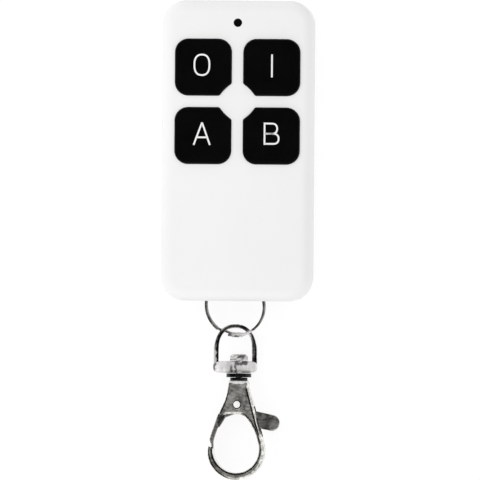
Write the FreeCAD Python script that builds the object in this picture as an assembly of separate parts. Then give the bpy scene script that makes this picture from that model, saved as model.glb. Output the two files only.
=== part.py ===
import FreeCAD, Part
import math
import os

from FreeCAD import Vector

# Sizes in millimetres and angles in degrees. The remote lies on its back:
# x runs to the right, y towards the indicator end, z out of the keys.
# The origin is the middle of the case's back face.

UP = Vector(0, 0, 1)
RIGHT = Vector(1, 0, 0)
AHEAD = Vector(0, 1, 0)

# case
case_width = 30.2
case_length = 60.0
case_depth = 12.5
case_corner = 4.8
crown_radius = 188.0
front_edge = 2.4
back_edge = 1.6
wall = 1.5
floor_thick = 2.3
ceiling_thick = 1.6
ceiling_z = case_depth - ceiling_thick
inner_edge = 0.9
head_y = case_length / 2
tail_y = -case_length / 2

# keys, two by two about one block centre
block_drop = 20.2
block_y = head_y - block_drop
key_size = 11.15
key_pitch = 13.65
key_corner = 2.6
key_bite = 8.0
key_bite_back = 3.1
key_bite_blend = 0.6
key_proud = 0.5
key_edge = 0.4
key_gap = 0.13
key_flange = 0.6
flange_gap = 0.3
flange_thick = 0.8
flange_high_z = ceiling_z - flange_gap
flange_low_z = flange_high_z - flange_thick
block_low_y = block_y - (key_pitch + key_size) / 2 - key_flange

# switches
switch_size = 4.2
switch_height = 1.0
switch_chamfer = 0.4
switch_well = 0.6
switch_well_radius = 1.2
plate_inset = 0.3
plate_thick = 0.15
plate_hole_radius = 1.05
stem_radius = 0.9
stem_show = 0.65
stem_gap = 0.35

# main board
board_gap = 0.5
board_thick = 1.0
board_corner = 3.0
board_tail_room = 4.0
board_high_z = flange_low_z - stem_show - plate_thick - switch_height
board_low_z = board_high_z - board_thick
board_width = case_width - 2 * (wall + board_gap)
board_head_y = head_y - wall - board_gap
board_tail_y = tail_y + board_tail_room
stem_low_z = board_high_z + switch_height - switch_well + stem_gap
seam_drop = 0.2
parting_z = board_low_z - seam_drop
rest_reach = 1.0
rest_width = 2.4
rest_rise = 12.0
rest_drop = 10.0
rest_y = (tail_y + rest_rise, head_y - rest_drop)

# radio board and the small parts, between the keys and the board's tail
radio_width = 11.0
radio_thick = 0.8
radio_key_room = 1.85
radio_tail_room = 4.0
radio_high_y = block_low_y - radio_key_room
radio_low_y = board_tail_y + radio_tail_room
radio_length = radio_high_y - radio_low_y
radio_y = (radio_high_y + radio_low_y) / 2
can_width = 9.4
can_height = 1.5
can_wall = 0.2
can_edge = 0.3
can_head_room = 0.6
can_tail_room = 6.4
can_length = radio_length - can_head_room - can_tail_room
can_y = radio_low_y + can_tail_room + can_length / 2
antenna_size = (6.5, 1.6, 1.0)
antenna_rise = 2.6
antenna_y = radio_low_y + antenna_rise
crystal_size = (3.2, 2.5, 0.7)
crystal_edge = 0.3
crystal_inset = 3.7
crystal_rise = 3.4
crystal_x = board_width / 2 - crystal_inset
crystal_y = radio_low_y + crystal_rise
chip_size = (1.0, 0.5, 0.5)
chip_step = 2.4
chip_row_count = 4
chip_head_room = 1.6
chip_tail_room = 1.4
chip_row_y = (radio_high_y + chip_head_room, radio_low_y - chip_tail_room)

# indicator
indicator_drop = 4.47
indicator_y = head_y - indicator_drop
indicator_radius = 0.8
indicator_fit = 0.05
indicator_rim_radius = 1.3
led_size = (1.6, 0.8, 0.7)
led_gap = 0.4
indicator_low_z = board_high_z + led_size[2] + led_gap

# coin cell and its contacts
cell_radius = 10.0
cell_thick = 3.2
cell_y = 1.0
cell_edge = 0.3
cell_lip_radius = 8.9
cell_lip = 0.25
well_gap = 0.8
clip_gap = 0.3
clip_thick = 0.3
clip_half_angle = 35.0
clip_drop = 4.4
clip_foot = 1.5
leaf_thick = 0.25
leaf_width = 3.0
leaf_foot_x = (-5.0, -2.5)
leaf_pad_x = (1.5, 3.5)
leaf_curl = 1.1

# battery cover and screws
cover_width = 23.2
cover_length = 28.0
cover_y = -0.6
cover_corner = 3.0
cover_gap = 0.15
cover_low_z = 0.25
cover_thick = 1.1
cover_edge = 0.3
cover_high_z = cover_low_z + cover_thick
cover_tail_y = cover_y - cover_length / 2
cell_low_z = cover_high_z + 0.1
grip_width = 8.0
grip_rib = 0.35
grip_step = 1.0
grip_count = 4
grip_drop = 4.2
grip_y = cover_y + cover_length / 2 - grip_drop
cover_screw_rise = 2.2
cover_screw_y = cover_tail_y + cover_screw_rise
cover_screw_head = 1.5
cover_screw_well = 0.75
cover_screw_sink = 0.1
cover_screw_shank = 0.7
cover_screw_reach = 3.6
screw_fit = 0.08
head_gap = 0.1
boss_radius = 1.9
boss_roof = 0.6
case_screw_x = 8.6
case_screw_rise = 2.3
case_screw_y = cover_tail_y + case_screw_rise
case_screw_head = 1.6
case_screw_head_thick = 1.1
case_screw_shank = 0.8
case_screw_head_low_z = cover_high_z + 0.25
case_screw_head_high_z = case_screw_head_low_z + case_screw_head_thick
case_screw_top_z = ceiling_z - 1.1
case_boss_radius = 2.4
front_boss_radius = 2.2
board_hole_radius = 1.0
cross_length = 2.0
cross_width = 0.45
cross_depth = 0.4

# slot for the ring in the case's end, with its post
slot_half_width = 8.6
slot_length = 6.2
slot_end_y = tail_y + slot_length
slot_low_z = 1.4
slot_roof = 0.7
slot_high_z = parting_z - slot_roof
slot_wall = 1.2
post_radius = 1.1
post_rise = 3.2
post_y = tail_y + post_rise
post_low_z = 0.6

# split ring, two turns of one wire; it leans as far as the slot lets it
ring_mid_radius = 5.94
ring_wire_radius = 0.26
ring_half_pitch = 0.47
ring_drop = 1.0
ring_y = tail_y - ring_drop
ring_z = (slot_low_z + slot_high_z) / 2 - 0.15
ring_roll = 8.0
ring_room = 2.64
ring_lean = (slot_high_z - slot_low_z - ring_room) / (2 * ring_mid_radius)
ring_tilt = math.degrees(math.asin(ring_lean))
ring_cross_from = -132.0
ring_cross_to = -48.0

# swivel bail, an arch of wire on a bar
clasp_z = 2.6
bail_roll = 18.0
bail_drop = 3.77
bail_top_y = ring_y - bail_drop
bail_wire_radius = 0.48
bail_arch_radius = 4.05
bail_height = 7.28
bar_high_y = bail_top_y - bail_height
bar_height = 2.4
bar_low_y = bar_high_y - bar_height
bar_half_width = 3.6
bar_half_thick = 0.95
lug_radius = 0.95

# swivel rivet and washer
swivel_x = 0.35
swivel_fit = 0.08
swivel_play = 0.1
rivet_radius = 0.65
rivet_head_radius = 1.8
rivet_head_thick = 1.3
rivet_head_round = 0.8
rivet_head_low_y = bar_high_y + swivel_play
rivet_head_high_y = rivet_head_low_y + rivet_head_thick
washer_radius = 2.5
washer_high_y = bar_low_y - swivel_play
washer_low_y = washer_high_y - 0.75

# hook body, with its outlines as x and the drop from its top
neck_radius = 1.75
neck_high_y = washer_low_y - swivel_play
flange_radius = 2.05
neck_flange_high_y = neck_high_y - 0.7
neck_flange_low_y = neck_flange_high_y - 0.65
hook_top_y = neck_flange_low_y + 0.3
rivet_end_y = hook_top_y - 1.1
hook_roll = 6.0
hook_half_thick = 1.6
hook_edge = 0.38
hook_top_left = -1.44
hook_top_right = 2.29
hook_left_flank = ((-2.2, -3.3), (-3.3, -5.9), (-4.61, -9.6), (-5.36, -11.9))
hook_right_flank = ((5.31, -11.1), (4.36, -7.7), (3.4, -4.1))
loop_drop = 13.69
loop_outer = 5.71
inner_drop = 13.36
loop_inner = 4.69
opening_drop = 6.25
opening_left = -1.7
opening_right = 0.9
opening_left_side = ((-2.68, -7.2), (-3.7, -9.5), (-4.4, -11.7))
opening_right_side = ((4.33, -11.2), (3.5, -9.0), (2.4, -7.25))
slit_half_thick = 0.85
slit_high_y = hook_top_y - 1.8
slit_low_y = hook_top_y - 10.7

# gate lever
gate_x = 0.2
gate_drop = 4.3
gate_y = hook_top_y - gate_drop
gate_pin_radius = 0.65
gate_pin_fit = 0.07
gate_pin_proud = 0.1
gate_hub_radius = 1.75
gate_half_thick = 0.65
gate_arm_half_thick = 1.3
gate_tab_half_thick = 1.1
gate_clear = 0.25
gate_mouth = ((-8.0, -5.3), (-2.0, -6.45))
gate_reach = 10.15
gate_edge = 0.3
gate_web = (
    (-1.1, -3.1), (-3.0, -6.0), (-4.15, -8.7), (-3.55, -9.0), (-2.35, -7.0),
    (0.2, -6.05), (1.9, -6.8), (3.1, -8.4), (4.4, -8.9), (3.9, -5.8), (1.2, -2.9),
)
tab_root = ((4.4, -8.9), (3.6, -5.7))
tab_tip = ((7.5, -6.65), (8.75, -8.05), (7.3, -9.65))
tab_grip_x = 5.6
spring_thick = 0.2
spring_half_width = 0.5
spring_seat = (-1.2, 1.4)
spring_tail = ((2.65, -3.7), (2.45, -3.82))


def rounded_prism(width, length, corner, low_z, high_z, mid_y=0.0):
    """An upright block with rounded corners, centred on x = 0."""
    block = Part.makeBox(
        width, length, high_z - low_z, Vector(-width / 2, mid_y - length / 2, low_z)
    )
    return block.makeFillet(corner, upright_edges(block))


def upright_edges(shape):
    """The straight edges of a shape that run along z."""
    found = []
    for edge in shape.Edges:
        first, last = edge.Vertexes[0].Point, edge.Vertexes[-1].Point
        if math.hypot(last.x - first.x, last.y - first.y) < 1e-6:
            found.append(edge)
    return found


def rim_edges(shape, z, tolerance=0.05):
    """The edges of a shape that lie wholly at one height."""
    return [
        edge
        for edge in shape.Edges
        if abs(edge.BoundBox.ZMin - z) < tolerance
        and abs(edge.BoundBox.ZMax - z) < tolerance
    ]


def centred_box(size, x, y, low_z):
    """A block of the given size over the point x, y."""
    return Part.makeBox(
        size[0], size[1], size[2], Vector(x - size[0] / 2, y - size[1] / 2, low_z)
    )


def rod(radius, low_z, high_z, x=0.0, y=0.0):
    """An upright cylinder."""
    return Part.makeCylinder(radius, high_z - low_z, Vector(x, y, low_z), UP)


def lengthways_rod(radius, high_y, low_y, x=swivel_x):
    """A cylinder along y at the height of the clasp."""
    return Part.makeCylinder(radius, high_y - low_y, Vector(x, low_y, clasp_z), AHEAD)


def extruded(outline, low_z, high_z, y=0.0):
    """A solid from a closed wire drawn at z = 0, moved along y."""
    face = Part.Face(outline)
    face.translate(Vector(0, y, low_z))
    return face.extrude(Vector(0, 0, high_z - low_z))


def polygon(points):
    """A closed wire through points given as x, y."""
    corners = [Vector(x, y, 0) for x, y in points]
    return Part.makePolygon(corners + corners[:1])


def curve_through(points, start, end):
    """A smooth edge through points given as x, y, with its directions at both ends."""
    curve = Part.BSplineCurve()
    curve.interpolate(
        Points=[Vector(x, y, 0) for x, y in points],
        InitialTangent=Vector(*start),
        FinalTangent=Vector(*end),
    )
    return curve.toShape()


def crown(extra=0.0):
    """Everything below the case's crowned front, raised by extra."""
    radius = crown_radius + extra
    return Part.makeCylinder(
        radius,
        2 * case_length,
        Vector(0, -case_length, case_depth - crown_radius),
        AHEAD,
    )


def crown_edges(shape):
    """The edges where a shape's sides meet its crowned front."""
    sag = crown_radius - math.sqrt(crown_radius**2 - case_width**2 / 4)
    return [edge for edge in shape.Edges if edge.BoundBox.ZMin > case_depth - 2 * sag]


def key_places():
    """The name and the two signs of each key in the block."""
    return (("off", -1, 1), ("on", 1, 1), ("a", -1, -1), ("b", 1, -1))


def key_centre(side, end):
    """The middle of a key's square."""
    return side * key_pitch / 2, block_y + end * key_pitch / 2


def bite_centre(side, end):
    """The middle of the arc that bites a key's inner corner, beyond the block's centre."""
    return -side * key_bite_back, block_y - end * key_bite_back


def key_prism(side, end, grow, low_z, high_z):
    """A key's outline, grown all round: a square with one bitten corner."""
    x, y = key_centre(side, end)
    bite_x, bite_y = bite_centre(side, end)
    size = key_size + 2 * grow
    block = centred_box((size, size, high_z - low_z), x, y, low_z)
    inner = Vector(side * (key_pitch - size) / 2, block_y + end * (key_pitch - size) / 2)
    outer = [
        edge
        for edge in upright_edges(block)
        if math.hypot(
            edge.CenterOfMass.x - inner.x, edge.CenterOfMass.y - inner.y
        ) > key_corner
    ]
    block = block.makeFillet(key_corner + grow, outer)
    block = block.cut(rod(key_bite - grow, low_z, high_z, bite_x, bite_y))
    bitten = [
        edge
        for edge in upright_edges(block)
        if abs(math.hypot(edge.CenterOfMass.x - bite_x, edge.CenterOfMass.y - bite_y)
               - (key_bite - grow)) < 0.01
    ]
    return block.makeFillet(key_bite_blend, bitten)


def make_front_shell():
    outer = rounded_prism(
        case_width, case_length, case_corner, parting_z, case_depth + 1
    )
    outer = outer.common(crown())
    top = crown_edges(outer)
    outer = outer.makeFillet(front_edge, top)
    inner = rounded_prism(
        case_width - 2 * wall,
        case_length - 2 * wall,
        case_corner - wall,
        parting_z - 1,
        ceiling_z,
    )
    inner = inner.makeFillet(inner_edge, rim_edges(inner, ceiling_z))
    shell = outer.cut(inner)
    for side in (-1, 1):
        x = side * case_screw_x
        boss = rod(front_boss_radius, board_high_z, ceiling_z + 0.2, x, case_screw_y)
        shell = shell.fuse(boss)
        pilot = rod(
            case_screw_shank, board_high_z - 1, case_screw_top_z + 0.2, x, case_screw_y
        )
        shell = shell.cut(pilot)
    for name, side, end in key_places():
        shell = shell.cut(key_prism(side, end, key_gap, ceiling_z - 1, case_depth + 1))
    bore = rod(
        indicator_radius + indicator_fit, ceiling_z - 1, case_depth + 1, 0, indicator_y
    )
    return shell.cut(bore)


def make_rear_shell():
    screw_top_z = cover_low_z + cover_screw_well + cover_screw_reach
    outer = rounded_prism(case_width, case_length, case_corner, 0, parting_z)
    outer = outer.makeFillet(back_edge, rim_edges(outer, 0))
    inner = rounded_prism(
        case_width - 2 * wall,
        case_length - 2 * wall,
        case_corner - wall,
        floor_thick,
        parting_z + 1,
    )
    pocket = Part.makeBox(
        2 * (slot_half_width + slot_wall),
        slot_length + slot_wall + 1,
        parting_z + 2,
        Vector(-slot_half_width - slot_wall, tail_y - 1, -1),
    )
    shell = outer.cut(inner.cut(pocket))
    slot = Part.makeBox(
        2 * slot_half_width,
        slot_length + 1,
        slot_high_z - slot_low_z,
        Vector(-slot_half_width, tail_y - 1, slot_low_z),
    )
    slot_sides = [edge for edge in upright_edges(slot) if edge.CenterOfMass.y > tail_y]
    shell = shell.cut(slot.makeFillet(slot_wall, slot_sides))
    for side in (-1, 1):
        boss = rod(
            case_boss_radius,
            cover_high_z,
            board_low_z,
            side * case_screw_x,
            case_screw_y,
        )
        shell = shell.fuse(boss)
    boss = rod(boss_radius, cover_high_z, screw_top_z + boss_roof, 0, cover_screw_y)
    shell = shell.fuse(boss)
    shell = shell.fuse(board_rests())
    recess = rounded_prism(
        cover_width + 2 * cover_gap,
        cover_length + 2 * cover_gap,
        cover_corner + cover_gap,
        -1,
        cover_high_z,
        cover_y,
    )
    shell = shell.cut(recess)
    shell = shell.cut(rod(cell_radius + well_gap, 0, floor_thick + 1, 0, cell_y))
    for side in (-1, 1):
        x = side * case_screw_x
        counterbore = rod(
            case_screw_head + head_gap, 0, case_screw_head_high_z, x, case_screw_y
        )
        shell = shell.cut(counterbore)
        shell = shell.cut(rod(case_screw_shank, 0, board_high_z, x, case_screw_y))
    bore = rod(cover_screw_shank + screw_fit, 0, screw_top_z + 0.2, 0, cover_screw_y)
    shell = shell.cut(bore)
    return shell.cut(rod(post_radius, post_low_z, parting_z + 1, 0, post_y))


def board_rests():
    """Four ribs on the side walls that carry the main board."""
    ribs = []
    outer = case_width / 2 - wall
    inner = board_width / 2 - rest_reach
    for side in (-1, 1):
        for y in rest_y:
            x = side * (outer + inner) / 2
            size = (outer - inner, rest_width, board_low_z - floor_thick + 0.1)
            ribs.append(centred_box(size, x, y, floor_thick - 0.1))
    return ribs[0].multiFuse(ribs[1:])


def make_battery_cover():
    plate = rounded_prism(
        cover_width, cover_length, cover_corner, cover_low_z, cover_high_z, cover_y
    )
    plate = plate.makeFillet(cover_edge, rim_edges(plate, cover_low_z))
    well = rod(
        cover_screw_head + head_gap,
        cover_low_z - 1,
        cover_low_z + cover_screw_well,
        0,
        cover_screw_y,
    )
    plate = plate.cut(well)
    bore = rod(cover_screw_shank + screw_fit, 0, cover_high_z + 1, 0, cover_screw_y)
    plate = plate.cut(bore)
    for row in range(grip_count):
        groove = Part.makeBox(
            grip_width,
            grip_step / 2,
            grip_rib,
            Vector(-grip_width / 2, grip_y + row * grip_step, cover_low_z),
        )
        plate = plate.cut(groove)
    return plate


def cross_recess(x, y, low_z):
    """The cross in a screw's head, open towards the back."""
    deep = cross_depth + 0.1
    across = centred_box((cross_length, cross_width, deep), x, y, low_z - 0.1)
    along = centred_box((cross_width, cross_length, deep), x, y, low_z - 0.1)
    return across.fuse(along)


def make_cover_screw():
    low = cover_low_z + cover_screw_sink
    high = cover_low_z + cover_screw_well
    screw = rod(cover_screw_head, low, high, 0, cover_screw_y)
    screw = screw.fuse(
        rod(cover_screw_shank, high, high + cover_screw_reach, 0, cover_screw_y)
    )
    return screw.cut(cross_recess(0, cover_screw_y, low))


def make_case_screws():
    screws = []
    for side in (-1, 1):
        x = side * case_screw_x
        screw = rod(
            case_screw_head,
            case_screw_head_low_z,
            case_screw_head_high_z,
            x,
            case_screw_y,
        )
        shank = rod(
            case_screw_shank, case_screw_head_high_z, case_screw_top_z, x, case_screw_y
        )
        screw = screw.fuse(shank)
        screws.append(screw.cut(cross_recess(x, case_screw_y, case_screw_head_low_z)))
    return Part.makeCompound(screws)


def make_main_board():
    board = rounded_prism(
        board_width,
        board_head_y - board_tail_y,
        board_corner,
        board_low_z,
        board_high_z,
        (board_head_y + board_tail_y) / 2,
    )
    for side in (-1, 1):
        hole = rod(
            board_hole_radius,
            board_low_z - 1,
            board_high_z + 1,
            side * case_screw_x,
            case_screw_y,
        )
        board = board.cut(hole)
    return board


def make_switch_body(side, end):
    x, y = key_centre(side, end)
    body = centred_box((switch_size, switch_size, switch_height), x, y, board_high_z)
    body = body.makeChamfer(switch_chamfer, upright_edges(body))
    top = board_high_z + switch_height
    return body.cut(rod(switch_well_radius, top - switch_well, top + 1, x, y))


def make_switch_plate(side, end):
    x, y = key_centre(side, end)
    low = board_high_z + switch_height
    size = switch_size - plate_inset
    plate = centred_box((size, size, plate_thick), x, y, low)
    return plate.cut(rod(plate_hole_radius, low - 1, low + 1, x, y))


def make_switch_stem(side, end):
    x, y = key_centre(side, end)
    return rod(stem_radius, stem_low_z, flange_low_z, x, y)


def make_key(side, end):
    body = key_prism(side, end, 0, flange_low_z, case_depth + 1)
    body = body.common(crown(key_proud))
    top = crown_edges(body)
    body = body.makeFillet(key_edge, top)
    flange = key_prism(side, end, key_flange, flange_low_z, flange_high_z)
    return body.fuse(flange).removeSplitter()


def make_radio_board():
    size = (radio_width, radio_length, radio_thick)
    return centred_box(size, 0, radio_y, board_high_z)


def make_shield_can():
    low = board_high_z + radio_thick
    can = centred_box((can_width, can_length, can_height), 0, can_y, low)
    can = can.makeFillet(can_edge, rim_edges(can, low + can_height))
    hollow = (can_width - 2 * can_wall, can_length - 2 * can_wall, can_height - can_wall)
    return can.cut(centred_box(hollow, 0, can_y, low))


def make_antenna():
    return centred_box(antenna_size, 0, antenna_y, board_high_z + radio_thick)


def make_crystal():
    crystal = centred_box(crystal_size, crystal_x, crystal_y, board_high_z)
    return crystal.makeFillet(crystal_edge, upright_edges(crystal))


def make_chip_capacitors():
    chips = []
    for y in chip_row_y:
        for n in range(chip_row_count):
            x = (n - (chip_row_count - 1) / 2) * chip_step
            chips.append(centred_box(chip_size, x, y, board_high_z))
    return Part.makeCompound(chips)


def make_status_led():
    return centred_box(led_size, 0, indicator_y, board_high_z)


def make_light_pipe():
    pipe = rod(indicator_radius, indicator_low_z, case_depth + 1, 0, indicator_y)
    rim = rod(indicator_rim_radius, indicator_low_z, flange_high_z, 0, indicator_y)
    return pipe.fuse(rim).common(crown())


def make_coin_cell():
    high = cell_low_z + cell_thick
    cell = rod(cell_radius, cell_low_z, high - cell_lip, 0, cell_y)
    cell = cell.makeFillet(cell_edge, rim_edges(cell, cell_low_z))
    return cell.fuse(rod(cell_lip_radius, high - cell_lip, high, 0, cell_y))


def make_battery_clip():
    """A strip bent round part of the cell's side, with a foot on the board."""
    inner = cell_radius + clip_gap
    low = board_low_z - clip_drop
    strip = rod(inner + clip_thick, low, board_low_z, 0, cell_y)
    foot = rod(inner + clip_foot, board_low_z - clip_thick, board_low_z, 0, cell_y)
    full = strip.fuse(foot)
    full = full.cut(rod(inner, low - 1, board_low_z + 1, 0, cell_y))
    reach = 2 * inner
    spread = reach * math.tan(math.radians(clip_half_angle))
    sector = polygon([(0, cell_y), (-spread, cell_y + reach), (spread, cell_y + reach)])
    return full.common(extruded(sector, 0, board_high_z))


def make_battery_leaf():
    """A springy strip from the board down to the cell's face."""
    low = cell_low_z + cell_thick
    high = board_low_z
    thick = leaf_thick
    profile = [
        (leaf_foot_x[0], high),
        (leaf_foot_x[1], high),
        (leaf_pad_x[0], low + thick),
        (leaf_pad_x[1], low + thick),
        (leaf_pad_x[1] + leaf_curl, low + 4 * thick),
        (leaf_pad_x[1] + leaf_curl, low + 3 * thick),
        (leaf_pad_x[1], low),
        (leaf_pad_x[0], low),
        (leaf_foot_x[1], high - thick),
        (leaf_foot_x[0], high - thick),
    ]
    corners = [Vector(x, cell_y - leaf_width / 2, z) for x, z in profile]
    face = Part.Face(Part.makePolygon(corners + corners[:1]))
    return face.extrude(Vector(0, leaf_width, 0))


def make_ring_post():
    return rod(post_radius, post_low_z, parting_z, 0, post_y)


def ring_path(steps_per_turn=72):
    """Points of the wire's middle: a turn low, a smooth crossing, a turn high."""
    start = math.radians(ring_cross_from)
    stop = math.radians(ring_cross_to)
    turn = start + 2 * math.pi - stop
    count = round(steps_per_turn * turn / (2 * math.pi))
    crossing = round(steps_per_turn * (stop - start) / (2 * math.pi))
    points = []
    for n in range(count + 1):
        points.append((stop + turn * n / count, -ring_half_pitch))
    for n in range(1, crossing):
        share = n / crossing
        rise = share * share * (3 - 2 * share)
        points.append((start + (stop - start) * share, ring_half_pitch * (2 * rise - 1)))
    for n in range(count + 1):
        points.append((stop + turn * n / count, ring_half_pitch))
    return [
        Vector(ring_mid_radius * math.cos(a), ring_mid_radius * math.sin(a), z)
        for a, z in points
    ]


def least_self_gap(points, radius):
    """The least gap of a wire to itself, between points over a quarter turn apart."""
    apart = len(points) // 8
    least = min(
        (points[i] - points[k]).Length
        for i in range(len(points))
        for k in range(i + apart, len(points))
    )
    return least - 2 * radius


def make_split_ring():
    points = ring_path()
    curve = Part.BSplineCurve()
    curve.interpolate(points)
    spine = Part.Wire([curve.toShape()])
    along = (points[1] - points[0]).normalize()
    section = Part.Wire([Part.makeCircle(ring_wire_radius, points[0], along)])
    ring = Part.BRepOffsetAPI.MakePipeShell(spine)
    ring.add(section)
    ring.build()
    ring.makeSolid()
    ring = ring.shape()
    print("split ring: least gap to itself",
          round(least_self_gap(points, ring_wire_radius), 3), "mm")
    ring.rotate(Vector(0, 0, 0), AHEAD, -ring_roll)
    ring.rotate(Vector(0, 0, 0), RIGHT, ring_tilt)
    ring.translate(Vector(0, ring_y, ring_z))
    return ring


def make_swivel_bail():
    arch_y = bail_top_y - bail_wire_radius - bail_arch_radius
    foot_y = (bar_high_y + bar_low_y) / 2
    bail = Part.makeTorus(
        bail_arch_radius, bail_wire_radius, Vector(0, arch_y, clasp_z), UP, -180, 180, 180
    )
    for side in (-1, 1):
        leg = Part.makeCylinder(
            bail_wire_radius,
            arch_y - foot_y,
            Vector(side * bail_arch_radius, foot_y, clasp_z),
            AHEAD,
        )
        bail = bail.fuse(leg)
    bar = Part.makeBox(
        2 * bar_half_width,
        bar_high_y - bar_low_y,
        2 * bar_half_thick,
        Vector(-bar_half_width, bar_low_y, clasp_z - bar_half_thick),
    )
    bail = bail.fuse(bar)
    for side in (-1, 1):
        lug = Part.makeCylinder(
            lug_radius,
            bar_high_y - bar_low_y,
            Vector(side * bar_half_width, bar_low_y, clasp_z),
            AHEAD,
        )
        bail = bail.fuse(lug)
    bail.rotate(Vector(0, 0, clasp_z), AHEAD, bail_roll)
    bore = lengthways_rod(rivet_radius + swivel_fit, bar_high_y + 1, bar_low_y - 1)
    return bail.cut(bore)


def make_swivel_rivet():
    head = lengthways_rod(rivet_head_radius, rivet_head_high_y, rivet_head_low_y)
    rim = [
        edge
        for edge in head.Edges
        if edge.BoundBox.YMin > rivet_head_high_y - 0.01
    ]
    head = head.makeFillet(rivet_head_round, rim)
    return head.fuse(lengthways_rod(rivet_radius, rivet_head_low_y, rivet_end_y))


def make_swivel_washer():
    washer = lengthways_rod(washer_radius, washer_high_y, washer_low_y)
    return washer.cut(
        lengthways_rod(rivet_radius + swivel_fit, washer_high_y + 1, washer_low_y - 1)
    )


def rolled(shape):
    """A piece of the hook, turned about the swivel's axis, right side up."""
    shape.rotate(Vector(swivel_x, 0, clasp_z), AHEAD, -hook_roll)
    return shape


def half_loop(radius, drop):
    """The round bottom of the hook's loop, from left to right."""
    return Part.Arc(
        Vector(-radius, -drop, 0), Vector(0, -drop - radius, 0), Vector(radius, -drop, 0)
    ).toShape()


def hook_outer():
    """The hook's outline: two flanks drawn into a half circle."""
    left = curve_through(
        ((hook_top_left, 0),) + hook_left_flank + ((-loop_outer, -loop_drop),),
        (-0.2, -1, 0), (0, -1, 0),
    )
    right = curve_through(
        ((loop_outer, -loop_drop),) + hook_right_flank + ((hook_top_right, 0),),
        (0, 1, 0), (-0.25, 1, 0),
    )
    top = Part.makeLine(Vector(hook_top_right, 0, 0), Vector(hook_top_left, 0, 0))
    return Part.Wire([left, half_loop(loop_outer, loop_drop), right, top])


def hook_opening():
    """The teardrop that the hook goes round."""
    right = curve_through(
        ((loop_inner, -inner_drop),) + opening_right_side
        + ((opening_right, -opening_drop),),
        (0, 1, 0), (-1, 0, 0),
    )
    left = curve_through(
        ((opening_left, -opening_drop),) + opening_left_side
        + ((-loop_inner, -inner_drop),),
        (-1, 0, 0), (0, -1, 0),
    )
    top = Part.makeLine(
        Vector(opening_right, -opening_drop, 0), Vector(opening_left, -opening_drop, 0)
    )
    return Part.Wire([right, top, left, half_loop(loop_inner, inner_drop)])


def hook_limbs(half_thick):
    """The hook's full outline less its opening, as thick as asked."""
    low, high = clasp_z - half_thick, clasp_z + half_thick
    limbs = extruded(hook_outer(), low, high, hook_top_y)
    return limbs.cut(extruded(hook_opening(), low - 1, high + 1, hook_top_y))


def gate_region(shrink):
    """The stretch of the left limb that the gate's arm takes the place of."""
    (left_x, left_y), (right_x, right_y) = gate_mouth
    stretch = polygon([
        (left_x, left_y + shrink),
        (right_x, right_y + shrink),
        (right_x, -loop_drop - loop_outer),
        (left_x, -loop_drop - loop_outer),
    ])
    reach = rod(gate_reach + shrink, 0, 2 * clasp_z, gate_x, gate_y)
    return extruded(stretch, 0, 2 * clasp_z, hook_top_y).common(reach)


def make_hook_body():
    low = clasp_z - hook_half_thick
    high = clasp_z + hook_half_thick
    body = extruded(hook_outer(), low, high, hook_top_y)
    rim = [
        edge
        for edge in rim_edges(body, low) + rim_edges(body, high)
        if edge.BoundBox.YMin < slit_high_y
    ]
    body = body.makeFillet(hook_edge, rim)
    body = body.cut(extruded(hook_opening(), low - 1, high + 1, hook_top_y))
    loop_y = hook_top_y - inner_drop
    rim = [
        edge
        for edge in rim_edges(body, low) + rim_edges(body, high)
        if edge.BoundBox.YMax < hook_top_y - opening_drop + 0.5
        and edge.BoundBox.YMin > loop_y - loop_inner - 0.1
        and abs(edge.CenterOfMass.x) < loop_inner
    ]
    body = body.makeFillet(hook_edge, rim)
    body = body.cut(gate_region(0))
    slit = Part.makeBox(
        4 * loop_outer,
        slit_high_y - slit_low_y,
        2 * slit_half_thick,
        Vector(-2 * loop_outer, slit_low_y, clasp_z - slit_half_thick),
    )
    body = body.cut(slit)
    body = body.fuse(lengthways_rod(neck_radius, neck_high_y, neck_flange_high_y))
    body = body.fuse(
        lengthways_rod(flange_radius, neck_flange_high_y, neck_flange_low_y)
    )
    body = body.cut(lengthways_rod(rivet_radius, neck_high_y + 1, rivet_end_y))
    return rolled(body.cut(rod(gate_pin_radius, low - 1, high + 1, gate_x, gate_y)))


def gate_tab(half_thick):
    """The thumb tab, with its rounded end."""
    root = [Vector(x, y, 0) for x, y in tab_root]
    tip = [Vector(x, y, 0) for x, y in tab_tip]
    outline = Part.Wire([
        Part.makeLine(root[1], tip[0]),
        Part.Arc(*tip).toShape(),
        Part.makeLine(tip[2], root[0]),
        Part.makeLine(root[0], root[1]),
    ])
    return extruded(outline, clasp_z - half_thick, clasp_z + half_thick, hook_top_y)


def make_gate_lever():
    thin_low = clasp_z - gate_half_thick
    thin_high = clasp_z + gate_half_thick
    arm = hook_limbs(gate_arm_half_thick).common(gate_region(-gate_clear))
    hub = rod(gate_hub_radius, thin_low, thin_high, gate_x, gate_y)
    lever = hub.fuse(extruded(polygon(gate_web), thin_low, thin_high, hook_top_y))
    lever = lever.fuse(gate_tab(gate_half_thick))
    grip = gate_tab(gate_tab_half_thick)
    block = Part.makeBox(
        loop_outer,
        2 * loop_drop,
        4 * clasp_z,
        Vector(tab_grip_x, hook_top_y - 2 * loop_drop, -clasp_z),
    )
    grip = grip.common(block)
    grip = grip.makeFillet(
        gate_edge,
        rim_edges(grip, clasp_z - gate_tab_half_thick)
        + rim_edges(grip, clasp_z + gate_tab_half_thick),
    )
    lever = lever.fuse(grip).fuse(arm)
    bore = rod(gate_pin_radius + gate_pin_fit, 0, 2 * clasp_z, gate_x, gate_y)
    return rolled(lever.cut(bore))


def make_gate_pin():
    reach = hook_half_thick + gate_pin_proud
    return rolled(rod(gate_pin_radius, clasp_z - reach, clasp_z + reach, gate_x, gate_y))


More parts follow.
